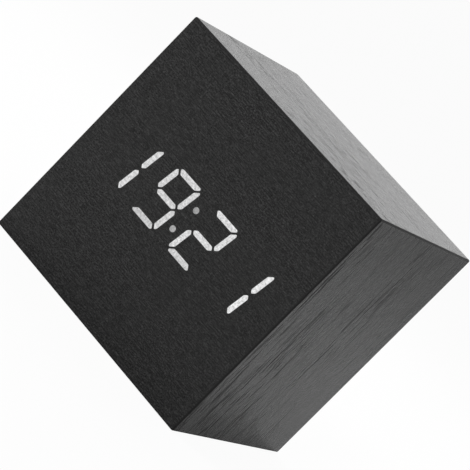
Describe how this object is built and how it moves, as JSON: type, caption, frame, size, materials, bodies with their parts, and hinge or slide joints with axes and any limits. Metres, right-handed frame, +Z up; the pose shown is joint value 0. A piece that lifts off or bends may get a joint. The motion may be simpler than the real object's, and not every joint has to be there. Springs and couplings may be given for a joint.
{
  "type": "wooden digital alarm clock",
  "caption": "Small cube-shaped wooden alarm clock with a lit segment display behind its front veneer, a moulded back cover, a hinged battery door, push buttons and a power socket.",
  "frame": {"origin": "middle of the footprint, on the surface the clock stands on", "axes": "+Z up, -Y out of the display's face, +X to the right of someone who reads the time"},
  "size_m": [0.063, 0.06, 0.063],
  "materials": {
    "veneer": "black-stained open-pore wood veneer, satin",
    "fibreboard": "raw fibreboard and softwood, matt, stained black at the edges that show",
    "lit_lens": "milky light guide, lit white",
    "film": "frosted diffuser film",
    "white_plastic": "white moulded plastic, matt",
    "board": "green glass-fibre circuit board",
    "black_plastic": "black moulded plastic, finely spark-eroded",
    "button_plastic": "black moulded plastic, satin",
    "chip_plastic": "black moulded epoxy, matt",
    "nickel": "nickel-plated steel",
    "steel": "zinc-plated steel",
    "cell_sleeve": "plain coloured sleeve on a steel can",
    "red_wire": "red wire insulation",
    "black_wire": "black wire insulation",
    "grey_ribbon": "grey flat-cable insulation"
  },
  "bodies": {
    "clock": {"front_veneer": "veneer", "front_panel": "fibreboard", "top_veneer": "veneer", "top_panel": "fibreboard", "bottom_veneer": "veneer", "bottom_panel": "fibreboard", "left_veneer": "veneer", "left_panel": "fibreboard", "right_veneer": "veneer", "right_panel": "fibreboard", "corner_block_lower_left": "fibreboard", "corner_block_lower_right": "fibreboard", "corner_block_upper_left": "fibreboard", "corner_block_upper_right": "fibreboard", "lit_digit_1": "lit_lens", "lit_digit_2": "lit_lens", "lit_digit_3": "lit_lens", "lit_digit_4": "lit_lens", "lit_colon": "lit_lens", "diffuser_film": "film", "segment_frame": "white_plastic", "display_board": "board", "controller_chip": "chip_plastic", "buzzer": "black_plastic", "ribbon_cable": "grey_ribbon", "display_screw_1": "steel", "display_screw_2": "steel", "back_cover": "black_plastic", "cover_screw_1": "steel", "cover_screw_2": "steel", "cover_screw_3": "steel", "cover_screw_4": "steel", "battery_1": "cell_sleeve", "contact_spring_1": "nickel", "battery_2": "cell_sleeve", "contact_spring_2": "nickel", "battery_3": "cell_sleeve", "contact_spring_3": "nickel", "contact_positive": "nickel", "contact_bridge_right": "nickel", "contact_bridge_left": "nickel", "contact_negative": "nickel", "battery_lead_positive": "red_wire", "battery_lead_negative": "black_wire", "switch_set": "chip_plastic", "switch_down": "chip_plastic", "switch_up": "chip_plastic", "button_board": "board", "usb_socket": "nickel", "microphone": "nickel", "board_screw_1": "steel", "board_screw_2": "steel"},
    "battery_door": {"battery_door": "black_plastic"},
    "door_latch": {"door_latch": "black_plastic"},
    "button_set": {"button_set": "button_plastic", "switch_plunger_set": "black_plastic"},
    "button_down": {"button_down": "button_plastic", "switch_plunger_down": "black_plastic"},
    "button_up": {"button_up": "button_plastic", "switch_plunger_up": "black_plastic"}
  },
  "joints": [
    {"name": "door_hinge", "type": "hinge", "parent": "clock", "child": "battery_door", "pos_m": [0, 0.029, 0.04775], "axis": [1, 0, 0], "range_deg": [0, 45]},
    {"name": "latch_flex", "type": "hinge", "parent": "battery_door", "child": "door_latch", "pos_m": [0, 0.022, 0.01115], "axis": [1, 0, 0], "range_deg": [0, 10], "stiffness_Nm_per_rad": 0.05},
    {"name": "button_set_press", "type": "slide", "parent": "clock", "child": "button_set", "axis": [0, -1, 0], "range_m": [0, 0.0005], "stiffness_N_per_m": 3000, "springref_m": -0.0001},
    {"name": "button_down_press", "type": "slide", "parent": "clock", "child": "button_down", "axis": [0, -1, 0], "range_m": [0, 0.0005], "stiffness_N_per_m": 3000, "springref_m": -0.0001},
    {"name": "button_up_press", "type": "slide", "parent": "clock", "child": "button_up", "axis": [0, -1, 0], "range_m": [0, 0.0005], "stiffness_N_per_m": 3000, "springref_m": -0.0001}
  ]
}
